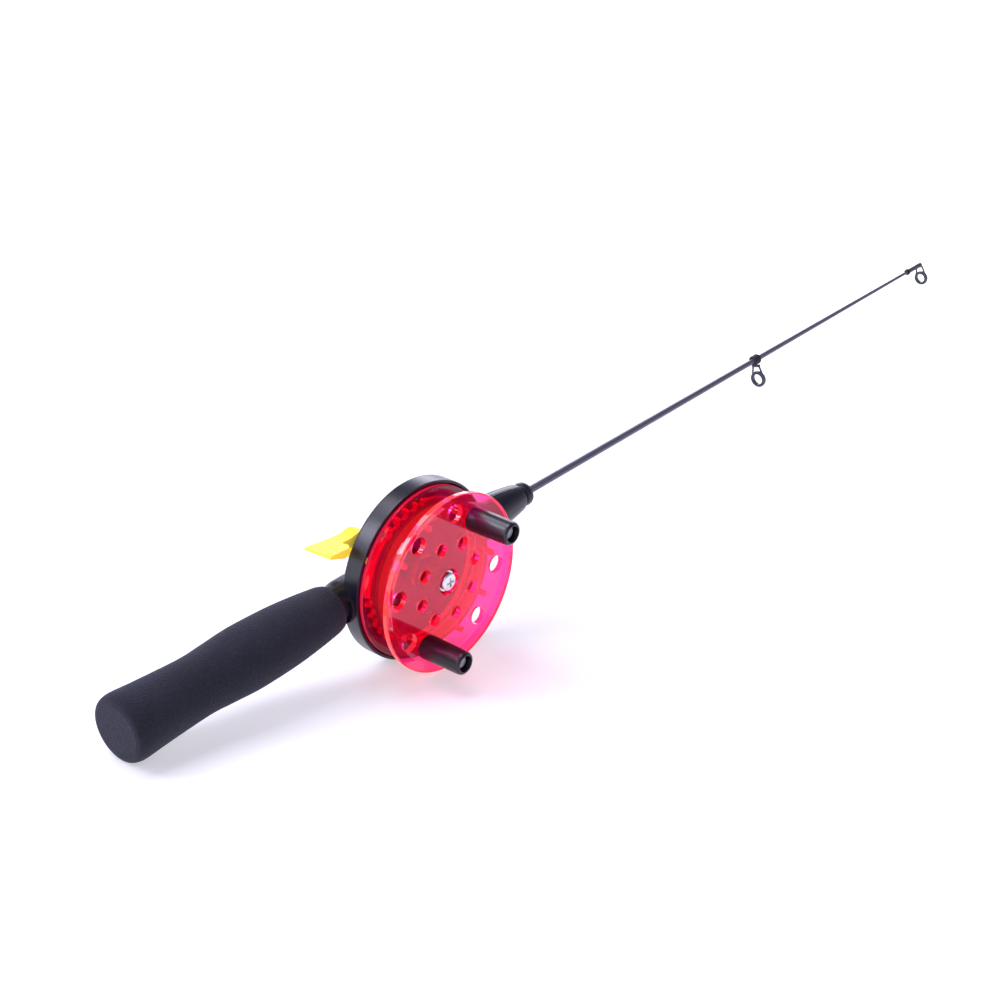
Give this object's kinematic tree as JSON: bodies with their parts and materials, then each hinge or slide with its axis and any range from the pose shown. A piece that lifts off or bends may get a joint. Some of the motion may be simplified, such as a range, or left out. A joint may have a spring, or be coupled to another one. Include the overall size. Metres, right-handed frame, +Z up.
{
  "type": "ice fishing rod",
  "caption": "Short ice fishing rod with a foam grip, a fixed reel with a clear red spool and two winding knobs, a thumb brake, and a tapered blank with line guides.",
  "frame": {"origin": "on the resting surface, under the middle of the object", "axes": "+X from the grip to the tip along the surface, +Y from the reel's open front to its back, +Z up. The rod lies on the reel's rim and the grip's end, so its blank rises towards the tip."},
  "size_m": [0.561, 0.0582, 0.1061],
  "materials": {
    "foam": "matte closed-cell foam, finely pored",
    "inner_plastic": "matte",
    "black_shell": "satin, finely grained",
    "screw_steel": "bright zinc plate",
    "spool_red": "clear fluorescent red, polished",
    "bush_brass": "turned",
    "axle_steel": "turned",
    "knob_black": "glossy",
    "pin_grey": "dull grey",
    "lever_yellow": "satin bright yellow",
    "spring_steel": "drawn wire",
    "ferrule_black": "satin",
    "blank": "satin lacquered glass fibre",
    "sleeve_rubber": "matte",
    "guide_frame": "black plated",
    "guide_insert": "polished dark ceramic"
  },
  "bodies": {
    "rod": {"handle_grip": "foam", "handle_core": "inner_plastic", "body_front": "black_shell", "rear_cover": "black_shell", "cover_screw_1": "screw_steel", "cover_screw_2": "screw_steel", "cover_screw_3": "screw_steel", "cover_screw_4": "screw_steel", "spool_axle": "axle_steel", "axle_nut": "axle_steel", "axle_washer": "screw_steel", "axle_screw": "screw_steel", "lever_pin": "screw_steel", "ferrule": "ferrule_black", "rod_blank": "blank", "mid_guide_sleeve": "sleeve_rubber", "mid_guide_frame": "guide_frame", "mid_guide_insert": "guide_insert", "tip_guide_frame": "guide_frame", "tip_guide_insert": "guide_insert", "tip_bead": "sleeve_rubber"},
    "spool": {"spool_drum": "spool_red", "spool_front_flange": "spool_red", "axle_bush": "bush_brass", "knob_pin_1": "pin_grey", "knob_pin_2": "pin_grey"},
    "knob_1": {"knob_1": "knob_black"},
    "knob_2": {"knob_2": "knob_black"},
    "lever": {"brake_lever": "lever_yellow", "lever_spring": "spring_steel"}
  },
  "joints": [
    {"name": "spool_spin", "type": "hinge", "parent": "rod", "child": "spool", "pos_m": [-0.13263, -0.00826, 0.0378], "axis": [0, 1, 0], "continuous": true},
    {"name": "knob_1_spin", "type": "hinge", "parent": "spool", "child": "knob_1", "pos_m": [-0.12192, -0.00826, 0.06237], "axis": [0, 1, 0], "continuous": true},
    {"name": "knob_2_spin", "type": "hinge", "parent": "spool", "child": "knob_2", "pos_m": [-0.14333, -0.00826, 0.01323], "axis": [0, 1, 0], "continuous": true},
    {"name": "brake_press", "type": "hinge", "parent": "rod", "child": "lever", "pos_m": [-0.15733, -0.00826, 0.05249], "axis": [0, -1, 0], "range_deg": [0, 7], "stiffness_Nm_per_rad": 0.3, "springref_deg": -5.73}
  ]
}
